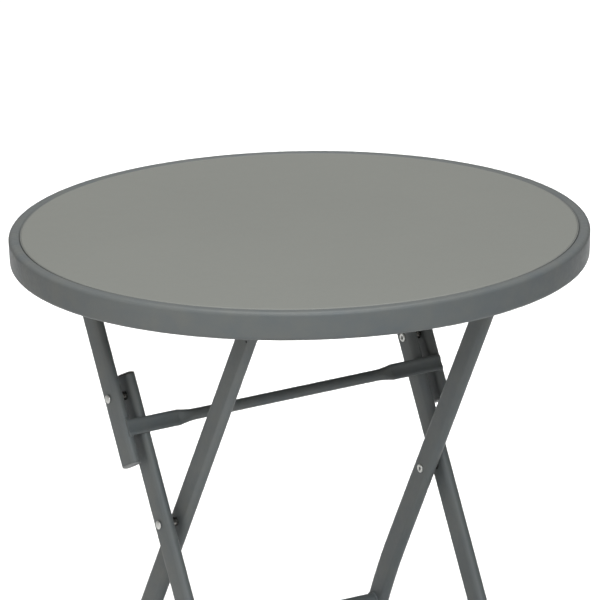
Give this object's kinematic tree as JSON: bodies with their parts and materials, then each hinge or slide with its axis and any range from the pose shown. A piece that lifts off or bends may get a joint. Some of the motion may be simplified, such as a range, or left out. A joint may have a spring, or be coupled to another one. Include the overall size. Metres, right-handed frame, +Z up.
{
  "type": "folding bistro table",
  "caption": "Round folding bistro table: glass top in a steel rim on a scissor frame of flat-oval tube with toggle links and a crossbar.",
  "frame": {"origin": "on the floor, under the centre of the table top", "axes": "+Z up, every pivot along X, -Y the front, towards which the inner legs lean at the top"},
  "size_m": [0.6019, 0.602, 0.7],
  "materials": {
    "painted_steel": "satin powder coat, slate grey",
    "glass": "satin tempered glass painted grey underneath",
    "rubber": "matte grey",
    "plastic": "matte",
    "rivet_steel": "zinc-plated"
  },
  "bodies": {
    "inner_legs": {"inner_leg_left": "painted_steel", "inner_leg_right": "painted_steel", "inner_stretcher": "painted_steel", "inner_foot_left": "plastic", "inner_foot_right": "plastic", "inner_plug_left": "plastic", "inner_plug_right": "plastic", "scissor_rivets": "rivet_steel", "scissor_spacers": "rivet_steel", "front_pivot_rivets": "rivet_steel"},
    "outer_legs": {"outer_leg_left": "painted_steel", "outer_leg_right": "painted_steel", "outer_stretcher": "painted_steel", "outer_foot_left": "plastic", "outer_foot_right": "plastic", "outer_plug_left": "plastic", "outer_plug_right": "plastic", "link_rivets": "rivet_steel", "link_spacers": "rivet_steel"},
    "links": {"link_left": "painted_steel", "link_right": "painted_steel", "link_crossbar": "painted_steel", "link_lower_plugs": "plastic", "link_upper_plugs": "plastic"},
    "table_top": {"table_rim": "painted_steel", "glass_panel": "glass", "glass_seal": "rubber", "glass_pads": "rubber", "front_rail": "painted_steel", "rear_rail": "painted_steel", "front_pivot_brackets": "painted_steel", "rear_pivot_brackets": "painted_steel", "front_bracket_rivets": "rivet_steel", "rear_pivot_rivets": "rivet_steel"}
  },
  "joints": [
    {"name": "scissor_fold", "type": "hinge", "parent": "inner_legs", "child": "outer_legs", "pos_m": [0, 0.0008, 0.4135], "axis": [1, 0, 0], "range_deg": [0, 55.5]},
    {"name": "link_fold", "type": "hinge", "parent": "outer_legs", "child": "links", "pos_m": [0, 0.06046, 0.53858], "axis": [1, 0, 0], "range_deg": [-180, 0]},
    {"name": "top_fold", "type": "hinge", "parent": "links", "child": "table_top", "pos_m": [0, 0.10774, 0.6377], "axis": [1, 0, 0], "range_deg": [0, 67.17]}
  ],
  "couplings": [
    {"joint": "link_fold", "follows": "scissor_fold", "ratio": -3.2432},
    {"joint": "top_fold", "follows": "scissor_fold", "ratio": 1.2102}
  ]
}
